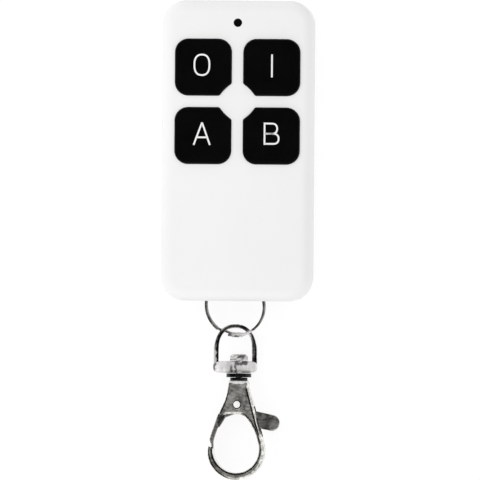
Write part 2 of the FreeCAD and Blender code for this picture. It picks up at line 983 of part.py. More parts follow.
def make_gate_spring():
    """A flat strip at the top of the slit that presses the lever's thumb side."""
    high = slit_high_y - hook_top_y
    strip = polygon([
        (spring_seat[0], high),
        (spring_seat[1] + spring_thick, high),
        spring_tail[0],
        spring_tail[1],
        (spring_seat[1], high - spring_thick),
        (spring_seat[0], high - spring_thick),
    ])
    low_z, high_z = clasp_z - spring_half_width, clasp_z + spring_half_width
    return rolled(extruded(strip, low_z, high_z, hook_top_y))


def build_nodes():
    nodes = {
        "front_shell": make_front_shell(),
        "rear_shell": make_rear_shell(),
        "battery_cover": make_battery_cover(),
        "cover_screw": make_cover_screw(),
        "case_screws": make_case_screws(),
        "main_board": make_main_board(),
        "radio_board": make_radio_board(),
        "shield_can": make_shield_can(),
        "chip_antenna": make_antenna(),
        "crystal": make_crystal(),
        "chip_capacitors": make_chip_capacitors(),
        "status_led": make_status_led(),
        "light_pipe": make_light_pipe(),
        "coin_cell": make_coin_cell(),
        "battery_clip": make_battery_clip(),
        "battery_leaf": make_battery_leaf(),
        "ring_post": make_ring_post(),
        "split_ring": make_split_ring(),
        "swivel_bail": make_swivel_bail(),
        "swivel_rivet": make_swivel_rivet(),
        "swivel_washer": make_swivel_washer(),
        "hook_body": make_hook_body(),
        "gate_lever": make_gate_lever(),
        "gate_pin": make_gate_pin(),
        "gate_spring": make_gate_spring(),
    }
    for name, side, end in key_places():
        nodes["key_" + name] = make_key(side, end)
        nodes["switch_body_" + name] = make_switch_body(side, end)
        nodes["switch_plate_" + name] = make_switch_plate(side, end)
        nodes["switch_stem_" + name] = make_switch_stem(side, end)
    return nodes


def main():
    os.makedirs("parts", exist_ok=True)
    for name, shape in build_nodes().items():
        shape.exportStep("parts/" + name + ".step")
        print(name, len(shape.Solids), shape.isValid(), round(shape.Volume, 1))


main()
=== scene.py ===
import math

import bpy
import numpy as np
from mathutils import Matrix, Vector


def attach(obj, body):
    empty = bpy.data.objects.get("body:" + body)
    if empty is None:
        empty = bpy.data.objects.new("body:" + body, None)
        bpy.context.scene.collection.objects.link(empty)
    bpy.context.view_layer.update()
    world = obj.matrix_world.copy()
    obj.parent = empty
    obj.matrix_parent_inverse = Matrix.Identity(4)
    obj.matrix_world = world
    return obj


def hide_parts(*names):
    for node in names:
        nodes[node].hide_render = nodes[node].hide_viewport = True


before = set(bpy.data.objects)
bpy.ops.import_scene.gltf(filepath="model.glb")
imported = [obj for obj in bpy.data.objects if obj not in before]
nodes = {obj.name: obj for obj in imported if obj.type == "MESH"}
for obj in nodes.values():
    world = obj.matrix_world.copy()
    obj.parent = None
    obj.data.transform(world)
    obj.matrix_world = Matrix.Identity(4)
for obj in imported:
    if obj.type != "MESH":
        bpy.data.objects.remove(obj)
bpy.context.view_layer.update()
mm = 0.001
print("frame loaded:", len(nodes), "nodes")


class Wire:
    # a node's output, so that shader maths reads as plain arithmetic
    def __init__(self, finish, socket):
        self.finish = finish
        self.socket = socket

    def maths(self, operation, *values):
        return self.finish.node("ShaderNodeMath", {"operation": operation}, dict(enumerate(values)))

    def __add__(self, other):
        return self.maths("ADD", self, other)

    def __radd__(self, other):
        return self.maths("ADD", other, self)

    def __sub__(self, other):
        return self.maths("SUBTRACT", self, other)

    def __rsub__(self, other):
        return self.maths("SUBTRACT", other, self)

    def __mul__(self, other):
        return self.maths("MULTIPLY", self, other)

    def __rmul__(self, other):
        return self.maths("MULTIPLY", other, self)


class Finish:
    # a material: a principled shader and the nodes that feed it
    def __init__(self, name, **shaderValues):
        self.material = bpy.data.materials.new(name)
        self.material.use_nodes = True
        self.tree = self.material.node_tree
        self.tree.nodes.clear()
        self.column = 0
        self.output = self.tree.nodes.new("ShaderNodeOutputMaterial")
        self.shader = self.tree.nodes.new("ShaderNodeBsdfPrincipled")
        self.tree.links.new(self.shader.outputs[0], self.output.inputs["Surface"])
        for socket, value in shaderValues.items():
            self.feed(socket.replace("_", " "), value)

    def feed(self, socket, value):
        self.plug(self.shader.inputs[socket], value)

    def plug(self, socket, value):
        # a wire is linked, a value is set, and a colour of three values gets its alpha
        if isinstance(value, Wire):
            self.tree.links.new(value.socket, socket)
        elif isinstance(value, tuple) and len(value) == 3 and len(socket.default_value) == 4:
            socket.default_value = (*value, 1.0)
        else:
            socket.default_value = value

    def node(self, kind, settings, inputs, output=0):
        # makes a node from its options and inputs and hands back one of its outputs
        made = self.tree.nodes.new(kind)
        self.column += 1
        made.location = (-260 * self.column, 0)
        for name, value in settings.items():
            if name == "stops":
                for element, (place, colour) in zip(made.color_ramp.elements, value):
                    element.position = place
                    element.color = (*colour, 1)
            else:
                setattr(made, name, value)
        for name, value in inputs.items():
            self.plug(made.inputs[name], value)
        return Wire(self, made.outputs[output])

    def place(self, scale=(1, 1, 1), turn=(0, 0, 0)):
        # object coordinates in millimetres, stretched or turned for a pattern
        spot = self.node("ShaderNodeTexCoord", {}, {}, "Object")
        grow = tuple(value / mm for value in scale)
        return self.node("ShaderNodeMapping", {}, {"Vector": spot, "Rotation": turn, "Scale": grow})

    def noise(self, scale, detail=3.0, rough=0.5, stretch=(1, 1, 1), turn=(0, 0, 0)):
        inputs = {"Vector": self.place(stretch, turn), "Scale": scale, "Detail": detail,
                  "Roughness": rough}
        return self.node("ShaderNodeTexNoise", {}, inputs, "Fac")

    def ramp(self, factor, *stops):
        # a value from 0 to 1 turned into a colour by two stops
        return self.node("ShaderNodeValToRGB", {"stops": stops}, {"Fac": factor}, "Color")

    def span(self, factor, low, high, fromLow=0.3, fromHigh=0.7):
        # factor's range from fromLow to fromHigh carried onto low to high, and held beyond it
        inputs = {"Value": factor, "From Min": fromLow, "From Max": fromHigh, "To Min": low,
                  "To Max": high}
        return self.node("ShaderNodeMapRange", {"clamp": True}, inputs)

    def blend(self, factor, first, second):
        # first at a factor of 0, second at 1
        inputs = {0: factor, 6: first, 7: second}
        return self.node("ShaderNodeMix", {"data_type": "RGBA"}, inputs, 2)

    def zone(self, box):
        # 1 inside a box of (axis, low, high, soft) in millimetres, fading to 0 over soft beyond it,
        # with an edge that a noise moves by half its reach to each side
        edge = {"scale": 1.7, "detail": 2.0, "reach": 1.1}
        uneven = (self.noise(edge["scale"], edge["detail"]) - 0.5) * edge["reach"]
        mask = 1.0
        for axis, low, high, soft in box:
            spot = self.node("ShaderNodeSeparateXYZ", {}, {"Vector": self.place()}, axis)
            along = spot + uneven
            mask = mask * self.span(along, 0, 1, low - soft, low)
            mask = mask * self.span(along, 1, 0, high, high + soft)
        return mask

    def bump(self, height, strength, depth):
        # depth in millimetres at a height of 1
        inputs = {"Height": height, "Strength": strength, "Distance": depth * mm}
        self.feed("Normal", self.node("ShaderNodeBump", {}, inputs, "Normal"))


def mouldedPlastic(name, first, second, cloud, grain, rough, strength, depth, **values):
    # satin moulded plastic: two tones in wide clouds under a fine spark-eroded grain
    detail, stops = 2.0, (0.3, 0.7)
    finish = Finish(name, **values)
    broad = finish.noise(cloud, detail)
    fine = finish.noise(grain, detail)
    finish.feed("Base Color", finish.ramp(broad, (stops[0], first), (stops[1], second)))
    finish.feed("Roughness", finish.span(fine, *rough))
    finish.bump(fine, strength, depth)
    return finish.material


def legendInk():
    # white printing ink, slightly uneven
    ink = {"dark": (0.84, 0.84, 0.83), "light": (0.9, 0.9, 0.89), "stops": (0.25, 0.6),
           "grain": 6.0, "strength": 0.2, "depth": 0.003, "rough": (0.5, 0.65)}
    finish = Finish("legendInk", IOR=1.45)
    fine = finish.noise(ink["grain"])
    finish.feed("Base Color", finish.ramp(fine, (ink["stops"][0], ink["dark"]),
                                          (ink["stops"][1], ink["light"])))
    finish.feed("Roughness", finish.span(fine, *ink["rough"]))
    finish.bump(fine, ink["strength"], ink["depth"])
    return finish.material


def platedMetal(name, bright, dark, rough, scratch, turn=(0, 0, 0), depth=0.004, patchScale=0.9,
                metallic=1.0, wallSheen=0.0, paintedHighlights=(), paintedHighlightColour=(0.96, 0.95, 0.945), paintedShade=()):
    # plated casting: tumbled patches, fine scratches and a slightly uneven face, with a painted
    # sheen that brightens the walls, painted highlights in some places and painted shade in others
    plate = {"patchDetail": 2.0, "streakScale": 3.0, "streakDetail": 3.0, "harshness": 0.55,
             "patchShare": 0.45, "streakShare": 0.55, "stops": (0.4, 0.6), "wall": (0.25, 0.7),
             "paintedHighlightDull": 0.5, "paintedShadeShare": 0.85, "paintedShadeColour": (0.03, 0.029, 0.028),
             "patchRelief": 0.6, "streakRelief": 0.4, "strength": 0.5}
    finish = Finish(name, Metallic=metallic)
    patch = finish.noise(patchScale, plate["patchDetail"], plate["harshness"])
    streak = finish.noise(plate["streakScale"], plate["streakDetail"], plate["harshness"], scratch,
                          turn)
    mix = patch * plate["patchShare"] + streak * plate["streakShare"]
    colour = finish.ramp(mix, (plate["stops"][0], dark), (plate["stops"][1], bright))
    # painted sheen: the upright walls take the bright colour and look lighter than the flat faces
    if wallSheen:
        facing = finish.node("ShaderNodeTexCoord", {}, {}, "Normal")
        upright = finish.node("ShaderNodeSeparateXYZ", {}, {"Vector": facing}, "Z")
        wall = finish.span(upright.maths("ABSOLUTE", upright), wallSheen, 0, *plate["wall"])
        colour = finish.blend(wall, colour, bright)
    shine = metallic
    # painted highlights: a bright colour in boxes, less metallic there
    for box in paintedHighlights:
        mask = finish.zone(box)
        colour = finish.blend(mask, colour, paintedHighlightColour)
        shine = shine - mask * plate["paintedHighlightDull"]
    # painted shade: a near-black colour in boxes
    for box in paintedShade:
        mask = finish.zone(box)
        colour = finish.blend(mask * plate["paintedShadeShare"], colour, plate["paintedShadeColour"])
    finish.feed("Base Color", colour)
    if paintedHighlights:
        finish.feed("Metallic", shine)
    finish.feed("Roughness", finish.span(mix, rough[1], rough[0]))
    finish.bump(patch * plate["patchRelief"] + streak * plate["streakRelief"], plate["strength"],
                depth)
    return finish.material


def plainPart(name, light, dark, scale, rough, metallic=0.0, depth=0.004, **values):
    # a small part's finish: two tones, a grain and its own roughness
    grain = {"detail": 4.0, "harshness": 0.6, "stops": (0.35, 0.65), "strength": 0.3}
    finish = Finish(name, Metallic=metallic, **values)
    fine = finish.noise(scale, grain["detail"], grain["harshness"])
    finish.feed("Base Color", finish.ramp(fine, (grain["stops"][0], dark),
                                          (grain["stops"][1], light)))
    finish.feed("Roughness", finish.span(fine, *rough))
    finish.bump(fine, grain["strength"], depth)
    return finish.material


def boardMask(name, light, dark, trackStep):
    # solder mask over copper tracks, which show as a lighter grid of lines
    mask = {"wavesAcross": 0.32, "distortion": 2.5, "detail": 1.0, "trackEdge": (0.62, 0.72),
            "grain": 5.0, "rough": (0.3, 0.42), "strength": 0.4, "depth": 0.02}
    finish = Finish(name, IOR=1.5)
    wave = finish.node("ShaderNodeTexWave", {"wave_type": "BANDS", "bands_direction": "DIAGONAL"},
                       {"Vector": finish.place(), "Scale": mask["wavesAcross"] / trackStep,
                        "Distortion": mask["distortion"], "Detail": mask["detail"]}, "Fac")
    track = finish.span(wave, 0, 1, *mask["trackEdge"])
    finish.feed("Base Color", finish.blend(track, dark, light))
    finish.feed("Roughness", finish.span(finish.noise(mask["grain"]), *mask["rough"]))
    finish.bump(track, mask["strength"], mask["depth"])
    return finish.material


def dress(node, material):
    # one finish in every slot of a CAD node
    slots = nodes[node].data.materials
    if len(slots) == 0:
        slots.append(material)
    for index in range(len(slots)):
        slots[index] = material


finishes = {material.name: material for material in (
    mouldedPlastic("mouldedWhite", (0.915, 0.914, 0.912), (0.897, 0.896, 0.893), cloud=0.06,
                   grain=7.0, rough=(0.38, 0.48), strength=0.35, depth=0.006, IOR=1.46),
    mouldedPlastic("keyRubber", (0.0012, 0.0012, 0.0013), (0.002, 0.002, 0.0021), cloud=0.25,
                   grain=9.0, rough=(0.34, 0.42), strength=0.2, depth=0.002, IOR=1.4,
                   Specular_IOR_Level=0.08),
    legendInk(),
    # hookNickel: the walls are painted brighter than the faces, a painted sheen
    platedMetal("hookNickel", (1.0, 0.99, 0.935), (0.3, 0.295, 0.275), (0.1, 0.2), (0.4, 0.6, 0.6),
                depth=0.018, patchScale=0.42, wallSheen=0.45),
    platedMetal("leverNickel", (0.56, 0.55, 0.52), (0.16, 0.157, 0.147), (0.16, 0.28),
                (0.4, 0.6, 0.6), (0, 0, 0.3), depth=0.02, patchScale=0.5,
                # painted shade on the web near the opening's corner
                paintedShade=[(("X", -3.7, -2.3, 0.2), ("Y", -55.2, -53.2, 0.4))]),
    platedMetal("bailNickel", (0.6, 0.595, 0.58), (0.2, 0.198, 0.19), (0.12, 0.26), (1, 0.5, 1),
                depth=0.02, paintedHighlightColour=(0.72, 0.715, 0.70),
                # painted highlights on the left leg's outer side and on the right of the arch
                paintedHighlights=[(("X", -5.4, -4.25, 0.2), ("Y", -43.0, -40.3, 1.4)),
                      (("X", 2.3, 2.6, 0.25), ("Y", -37.4, -36.6, 0.3))],
                # painted shade on the left leg's inner side, at the arch's left, under the arch
                # beside the ring and on the right leg
                paintedShade=[(("X", -4.0, -3.4, 0.2), ("Y", -43.0, -37.0, 1.0)),
                         (("X", -3.4, -2.6, 0.5), ("Y", -37.2, -36.2, 0.5)),
                         (("X", 0.6, 1.9, 0.5), ("Y", -36.2, -35.3, 0.4)),
                         (("X", 3.0, 3.2, 0.3), ("Y", -40.4, -38.6, 0.6)),
                         (("X", 2.9, 3.6, 0.5), ("Y", -42.4, -41.4, 0.6))]),
    # the bar, flange and rivet: near-white, barely metallic copies of the nickel plating, painted
    # bright as a painted reflection
    platedMetal("barNickelPaintedBright", (0.98, 0.97, 0.965), (0.68, 0.665, 0.66), (0.2, 0.4),
                (0.2, 0.05, 0.1), depth=0.08, patchScale=0.4, metallic=0.12,
                # painted shade: dark streaks on the bar, a patch under the rivet head and an edge
                # at the left lug
                paintedShade=[(("X", -1.25, -0.95, 0.3), ("Y", -44.2, -43.2, 0.4)),
                         (("X", -0.4, -0.2, 0.2), ("Y", -44.2, -43.0, 0.3)),
                         (("X", -0.3, 1.9, 0.3), ("Y", -42.75, -41.0, 0.25)),
                         (("X", -4.8, -4.35, 0.25), ("Y", -44.0, -42.5, 0.3))]),
    platedMetal("flangeNickelPaintedBright", (0.99, 0.98, 0.975), (0.7, 0.69, 0.68), (0.2, 0.4),
                (0.3, 0.1, 0.3), depth=0.05, patchScale=0.6, metallic=0.3),
    platedMetal("rivetNickelPaintedBright", (0.98, 0.97, 0.96), (0.4, 0.39, 0.38), (0.2, 0.34), (0.4, 1, 1),
                depth=0.03, patchScale=0.6, metallic=0.3,
                # painted shade in thin lines on the rivet head
                paintedShade=[(("X", 0.3, 1.4, 0.3), ("Y", -41.25, -41.0, 0.2)),
                         (("X", -1.6, -1.2, 0.2), ("Y", -41.9, -41.7, 0.2))]),
    platedMetal("ringSteel", (0.34, 0.34, 0.325), (0.06, 0.06, 0.057), (0.12, 0.26), (0.5, 0.5, 1),
                depth=0.01, paintedHighlightColour=(0.78, 0.77, 0.755),
                # painted highlight where the turns cross at the ring's bottom
                paintedHighlights=[(("X", -1.6, 2.6, 0.8), ("Y", -38.0, -36.0, 0.6))],
                # painted shade at the first end's gap and along the crossing's lower edge
                paintedShade=[(("X", -1.7, -1.2, 0.3), ("Y", -36.9, -36.4, 0.25)),
                         (("X", -1.0, 1.2, 0.4), ("Y", -38.0, -37.2, 0.1))]),
    # the pin head: a near-white, barely metallic copy of the nickel, painted bright as a painted
    # reflection
    plainPart("pinNickelPaintedBright", (0.98, 0.975, 0.97), (0.92, 0.915, 0.91), 2.5, (0.3, 0.45),
              metallic=0.05, depth=0.01),
    # a dark ring put where the groove round the pin is in shade: painted shade
    plainPart("pinGroovePaintedShade", (0.10, 0.10, 0.095), (0.04, 0.04, 0.038), 3.0, (0.35, 0.5),
              metallic=1.0),
    platedMetal("springSteel", (0.6, 0.6, 0.6), (0.4, 0.4, 0.4), (0.16, 0.3), (1, 4, 1)),
    platedMetal("screwSteel", (0.62, 0.63, 0.64), (0.42, 0.43, 0.44), (0.2, 0.34), (1, 1, 1)),
    platedMetal("cellSteel", (0.72, 0.72, 0.72), (0.55, 0.55, 0.55), (0.14, 0.28), (0.5, 5, 1)),
    platedMetal("contactNickel", (0.74, 0.72, 0.66), (0.56, 0.54, 0.5), (0.18, 0.3), (4, 0.5, 1)),
    platedMetal("canTin", (0.68, 0.69, 0.7), (0.5, 0.51, 0.52), (0.22, 0.36), (3, 0.5, 1)),
    # the washer's own dark finish, also used on the hook's waist as painted shade
    plainPart("washerDarkAndPaintedShade", (0.05, 0.05, 0.052), (0.018, 0.018, 0.019), 2.0, (0.3, 0.45),
              metallic=1.0),
    boardMask("boardGreen", (0.02, 0.18, 0.07), (0.008, 0.10, 0.04), 1.2),
    boardMask("radioBlue", (0.02, 0.08, 0.30), (0.006, 0.035, 0.16), 0.8),
    plainPart("antennaCeramic", (0.78, 0.76, 0.7), (0.66, 0.63, 0.56), 3.0, (0.35, 0.5)),
    plainPart("chipTan", (0.5, 0.34, 0.2), (0.36, 0.23, 0.12), 4.0, (0.4, 0.55)),
    plainPart("ledResin", (0.85, 0.8, 0.55), (0.75, 0.68, 0.4), 3.0, (0.18, 0.3)),
    plainPart("smokedWindow", (0.0014, 0.0014, 0.0015), (0.0008, 0.0008, 0.0009), 2.0, (0.2, 0.3),
              depth=0.001, Specular_IOR_Level=0.1),
    plainPart("switchPlastic", (0.03, 0.03, 0.032), (0.016, 0.016, 0.018), 5.0, (0.45, 0.6)),
    plainPart("stemBrown", (0.16, 0.08, 0.045), (0.09, 0.045, 0.025), 5.0, (0.4, 0.55)),
)}
print("finishes made:", len(finishes))

nodeFinish = {
    "front_shell": "mouldedWhite", "rear_shell": "mouldedWhite", "battery_cover": "mouldedWhite",
    "cover_screw": "screwSteel", "case_screws": "screwSteel", "main_board": "boardGreen",
    "radio_board": "radioBlue", "shield_can": "canTin", "chip_antenna": "antennaCeramic",
    "crystal": "canTin", "chip_capacitors": "chipTan", "status_led": "ledResin",
    "light_pipe": "smokedWindow", "coin_cell": "cellSteel", "battery_clip": "contactNickel",
    "battery_leaf": "contactNickel", "ring_post": "springSteel", "split_ring": "ringSteel",
    "swivel_bail": "bailNickel", "swivel_rivet": "rivetNickelPaintedBright", "swivel_washer": "washerDarkAndPaintedShade",
    "hook_body": "hookNickel", "gate_lever": "leverNickel", "gate_pin": "pinNickelPaintedBright",
    "gate_spring": "springSteel",
}
for name in ("off", "on", "a", "b"):
    nodeFinish["key_" + name] = "keyRubber"
    nodeFinish["switch_body_" + name] = "switchPlastic"
    nodeFinish["switch_plate_" + name] = "canTin"
    nodeFinish["switch_stem_" + name] = "stemBrown"
for name, finish in nodeFinish.items():
    dress(name, finishes[finish])


def addObject(name, data):
    # a new object in the scene
    piece = bpy.data.objects.new(name, data)
    bpy.context.scene.collection.objects.link(piece)
    return piece


def gridMesh(name, grid, material, wrapU=False, caps=False):
    # grid[u, v] is a point in metres and v goes round: neighbours make quads, and fans close the
    # first and last row
    rows, columns = grid.shape[:2]
    u = np.arange(rows if wrapU else rows - 1)
    uu, vv = np.meshgrid(u, np.arange(columns), indexing="ij")
    nextU, nextV = (uu + 1) % rows, (vv + 1) % columns
    corners = [uu * columns + vv, uu * columns + nextV, nextU * columns + nextV,
               nextU * columns + vv]
    faces = np.stack(corners, -1).reshape(-1, 4).tolist()
    points = grid.reshape(-1, 3)
    if caps:
        points = np.vstack([points, grid[0].mean(0), grid[-1].mean(0)])
        low, high = rows * columns, rows * columns + 1
        base = (rows - 1) * columns
        step = np.arange(columns)
        after = (step + 1) % columns
        faces += np.stack([after, step, np.full(columns, low)], -1).tolist()
        faces += np.stack([base + step, base + after, np.full(columns, high)], -1).tolist()
    mesh = bpy.data.meshes.new(name)
    mesh.from_pydata(points, [], faces)
    mesh.update()
    mesh.shade_smooth()
    mesh.materials.append(material)
    return addObject(name, mesh)


def ramp(value, low, high):
    # a smooth step from 0 at low to 1 at high: three t squared less two t cubed
    t = np.clip((value - low) / (high - low), 0, 1)
    return t ** 2 * (3 - 2 * t)


def unit(rows):
    # each row divided by its length
    return rows / np.linalg.norm(rows, axis=1)[:, None]


def sweep(path, sideways, upward, profile):
    # the path's point plus the profile's first value times sideways and its second times upward
    return (path[:, None, :] + profile[None, :, :1] * sideways[:, None, :]
            + profile[None, :, 1:] * upward[:, None, :])


def superellipse(halfWide, halfHigh, power, count):
    # each half size times the cosine or sine to the power two over the given one, sign kept
    t = np.linspace(0, 2 * np.pi, count, endpoint=False)
    c, s = np.cos(t), np.sin(t)
    x = halfWide * np.sign(c) * np.abs(c) ** (2 / power)
    y = halfHigh * np.sign(s) * np.abs(s) ** (2 / power)
    return np.stack([x, y], -1)


# the key legends: stroke widths and heights, the crown of the keys, and the letters' lines
legend = {"stroke": 0.35, "rise": 0.02, "sink": 0.05, "edge": 0.03, "lip": 0.01,
          "crownRadius": 188.5, "crownTop": 13.0, "shift": (-0.06, -0.14), "bowlPower": 2.3,
          "ovalSize": (1.5, 2.04), "ovalPower": 2.45, "ovalCentre": (-7.04, 17.21),
          "upright": ((6.94, 14.8), (6.94, 19.4)),
          "leftLeg": ((-8.58, 1.24), (-7.05, 5.4)), "rightLeg": ((-6.81, 5.4), (-5.33, 1.24)),
          "peak": (-6.93, 5.6), "peakSize": (0.09, 0.10),
          "crossbar": ((-7.98, 2.76), (-5.92, 2.76)), "stem": ((5.57, 1.33), (5.57, 5.81)),
          "upperBowl": (5.6, 8.07, 3.57, 5.59, 1.0), "lowerBowl": (5.6, 8.38, 1.55, 3.57, 1.05)}


def inkRibbon(name, line, body, closed):
    # a low rounded strip: the line's point plus the profile's offset across the line, as high as
    # the keys' round crown at that x plus the profile's height
    line = np.asarray(line, float) + np.array(legend["shift"])
    if closed:
        along = np.roll(line, -1, 0) - np.roll(line, 1, 0)
    else:
        along = np.gradient(line, axis=0)
    along = unit(along)
    across = np.stack([along[:, 1], -along[:, 0]], -1)
    half, edge = legend["stroke"] / 2, legend["edge"]
    sink, rise, shoulder = -legend["sink"], legend["rise"], legend["rise"] - legend["lip"]
    outer = np.array([-half, -half, -half + edge, half - edge, half, half])
    height = np.array([sink, shoulder, rise, rise, shoulder, sink])
    flat = line[:, None, :] + outer[None, :, None] * across[:, None, :]
    radius = legend["crownRadius"]
    top = legend["crownTop"] - radius + np.sqrt(radius ** 2 - flat[..., 0] ** 2)
    grid = np.concatenate([flat, (top + height[None, :])[..., None]], -1) * mm
    piece = gridMesh(name, grid, finishes["legendInk"], wrapU=closed, caps=not closed)
    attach(piece, body)


def straight(first, second, count=12):
    # points at even shares of the way from first to second
    share = np.linspace(0, 1, count)[:, None]
    return np.array(first) * (1 - share) + np.array(second) * share


def bowl(left, right, low, high, corner, count=40):
    # from (left, high) straight to the right, round by half a superellipse, and straight back to
    # (left, low)
    t = np.linspace(np.pi / 2, -np.pi / 2, count)
    power = 2 / legend["bowlPower"]
    mid, half = (low + high) / 2, (high - low) / 2
    x = (right - corner) + corner * np.abs(np.cos(t)) ** power
    y = mid + half * np.sign(np.sin(t)) * np.abs(np.sin(t)) ** power
    x[0] = x[-1] = right - corner
    return np.vstack([straight((left, high), (right - corner, high), 8)[:-1],
                      np.stack([x, y], -1),
                      straight((right - corner, low), (left, low), 8)[1:]])


def drawLegends():
    # the O is a closed superellipse, and the A's peak a short parabola
    oval = superellipse(*legend["ovalSize"], legend["ovalPower"], 96)
    oval = oval + np.array(legend["ovalCentre"])
    inkRibbon("legend_O", oval[::-1], "off_key", True)
    inkRibbon("legend_I", straight(*legend["upright"]), "on_key", False)
    t = np.linspace(-1, 1, 9)
    (peakX, peakY), (halfWide, drop) = legend["peak"], legend["peakSize"]
    cap = np.stack([peakX + halfWide * t, peakY - drop * t ** 2], -1)
    legs = np.vstack([straight(*legend["leftLeg"]), cap, straight(*legend["rightLeg"])])
    inkRibbon("legend_A_legs", legs, "a_key", False)
    inkRibbon("legend_A_bar", straight(*legend["crossbar"]), "a_key", False)
    inkRibbon("legend_B_stem", straight(*legend["stem"]), "b_key", False)
    inkRibbon("legend_B_upper", bowl(*legend["upperBowl"]), "b_key", False)
    inkRibbon("legend_B_lower", bowl(*legend["lowerBowl"]), "b_key", False)
    print("legends drawn")


drawLegends()


def splitRing():
    # radius times cosine and sine of the angle, at a height that steps smoothly from one turn to
    # the other; the radius dips there, so that the crossing passes inside the wire's first end,
    # which is sprung outwards
    ring = {"middle": 5.94, "halfWide": 0.24, "halfHigh": 0.26, "power": 4.5, "halfPitch": 0.28,
            "centre": (-0.45, -31.0, 3.6), "roll": 10.0, "tilt": 10.0, "crossFrom": -126.0,
            "crossTo": -68.0, "overrun": 36.0, "dip": 0.33, "dipIn": 0.26, "dipOut": 0.3,
            "sprung": 0.25, "sprungFrom": 22.0, "sprungTo": 52.0}
    start, stop = math.radians(ring["crossFrom"]), math.radians(ring["crossTo"])
    turn = start + 2 * math.pi - stop
    low = np.linspace(stop - math.radians(ring["overrun"]), stop + turn, 180)
    share = np.linspace(0, 1, 70)[1:-1]
    high = np.linspace(stop, stop + turn, 150)
    angle = np.concatenate([low, start + (stop - start) * share, high])
    rise = 2 * share ** 2 * (3 - 2 * share) - 1
    z = np.concatenate([np.full(low.shape, -1.0), rise, np.full(high.shape, 1.0)])
    dip = np.clip(np.minimum(share / ring["dipIn"], (1 - share) / ring["dipOut"]), 0, 1)
    dip = ring["dip"] * dip ** 2 * (3 - 2 * dip)
    free = np.degrees(low - low[0])
    sprung = ring["sprung"] * (1 - ramp(free, ring["sprungFrom"], ring["sprungTo"]))
    inward = np.concatenate([-sprung, dip, np.zeros(high.shape)])
    radius = ring["middle"] - inward
    outward = np.stack([np.cos(angle), np.sin(angle), np.zeros(angle.shape)], -1)
    path = radius[:, None] * outward
    path[:, 2] = z * ring["halfPitch"]
    along = unit(np.gradient(path, axis=0))
    upward = unit(np.cross(outward, along))
    sideways = np.cross(along, upward)
    section = superellipse(ring["halfWide"], ring["halfHigh"], ring["power"], 32)
    grid = sweep(path, sideways, upward, section)
    roll, tilt = math.radians(-ring["roll"]), math.radians(ring["tilt"])
    aboutY = np.array([[math.cos(roll), 0, math.sin(roll)], [0, 1, 0],
                       [-math.sin(roll), 0, math.cos(roll)]])
    aboutX = np.array([[1, 0, 0], [0, math.cos(tilt), -math.sin(tilt)],
                       [0, math.sin(tilt), math.cos(tilt)]])
    grid = grid @ (aboutX @ aboutY).T + np.array(ring["centre"])
    piece = gridMesh("split_ring_wire", grid * mm, finishes["ringSteel"], caps=True)
    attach(piece, "ring")
    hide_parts("split_ring")
    print("split ring wound")


splitRing()


claspZ = 2.6  # height of the clasp's middle


def turnedAboutY(points, degrees, x=0.0, z=claspZ):
    # about a line along y: the new x is x cosine plus z sine, the new z is z cosine less x sine
    angle = math.radians(degrees)
    c, s = math.cos(angle), math.sin(angle)
    dx, dz = points[..., 0] - x, points[..., 2] - z
    return np.stack([x + dx * c + dz * s, points[..., 1], z + dz * c - dx * s], -1)


def swivelBail():
    # the arch is half a superellipse on two short legs; the bar's section closes at its ends by a
    # root of one less a high power of the way out, and its waist fades as e to minus a power of it
    bail = {"halfSpan": 4.02, "rise": 5.37, "archY": -40.43, "footY": -42.9, "wireWide": 0.38,
            "wireThick": 0.38, "wirePower": 3.6, "power": 2.35, "legFuller": 0.26,
            "fullerFrom": 37.3, "fullerTo": 40.0, "barHigh": -42.05, "barLow": -44.45,
            "barHalf": 4.55, "barThick": 0.98, "barPower": 2.5, "endPower": 7, "endRoot": 3,
            "waist": 0.06, "waistHalf": 2.3, "waistPower": 4, "roll": 19.0, "shift": -0.4}
    t = np.linspace(0, np.pi, 120)
    x = np.sign(np.cos(t)) * np.abs(np.cos(t)) ** (2 / bail["power"])
    y = np.abs(np.sin(t)) ** (2 / bail["power"])
    arch = np.stack([bail["halfSpan"] * x, bail["archY"] + bail["rise"] * y], -1)
    drop = np.linspace(bail["footY"], bail["archY"], 12)[:-1]
    right = np.stack([np.full(drop.shape, bail["halfSpan"]), drop], -1)
    left = right[::-1] * np.array([-1, 1])
    line = np.vstack([right, arch, left])
    path = np.concatenate([line, np.full((len(line), 1), claspZ)], -1)
    along = unit(np.gradient(path, axis=0))
    up = np.tile([0.0, 0.0, 1.0], (len(path), 1))
    side = np.cross(along, up)
    swell = 1 + bail["legFuller"] * ramp(-path[:, 1:2], bail["fullerFrom"], bail["fullerTo"])
    section = superellipse(bail["wireWide"], bail["wireThick"], bail["wirePower"], 36)
    grid = turnedAboutY(sweep(path, side * swell, up * swell, section), bail["roll"])
    loop = gridMesh("bail_loop", grid * mm, finishes["bailNickel"], caps=True)
    s = np.sin(np.linspace(-np.pi / 2, np.pi / 2, 72)[1:-1])
    x = bail["barHalf"] * s
    close = (1 - np.abs(s) ** bail["endPower"]) ** (1 / bail["endRoot"])
    waist = 1 - bail["waist"] * np.exp(-(x / bail["waistHalf"]) ** bail["waistPower"])
    middle = (bail["barHigh"] + bail["barLow"]) / 2
    half = (bail["barHigh"] - bail["barLow"]) / 2
    spine = np.stack([x, np.full(x.shape, middle), np.full(x.shape, claspZ)], -1)
    ahead = np.tile([0.0, 1.0, 0.0], (len(x), 1)) * close[:, None]
    lift = np.tile([0.0, 0.0, 1.0], (len(x), 1)) * (close * waist)[:, None]
    section = superellipse(half, bail["barThick"], bail["barPower"], 56)
    grid = turnedAboutY(sweep(spine, ahead, lift, section), bail["roll"])
    bar = gridMesh("bail_bar", grid * mm, finishes["barNickelPaintedBright"], caps=True)
    # the bar slides along its own roll, so that it stays on the rivet
    climb = -bail["shift"] * math.tan(math.radians(bail["roll"]))
    for piece, height in ((loop, 0.0), (bar, climb)):
        piece.data.transform(Matrix.Translation((bail["shift"] * mm, 0, height * mm)))
        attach(piece, "bail")
    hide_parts("swivel_bail")
    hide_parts("swivel_bail")
    print("bail cast")


swivelBail()


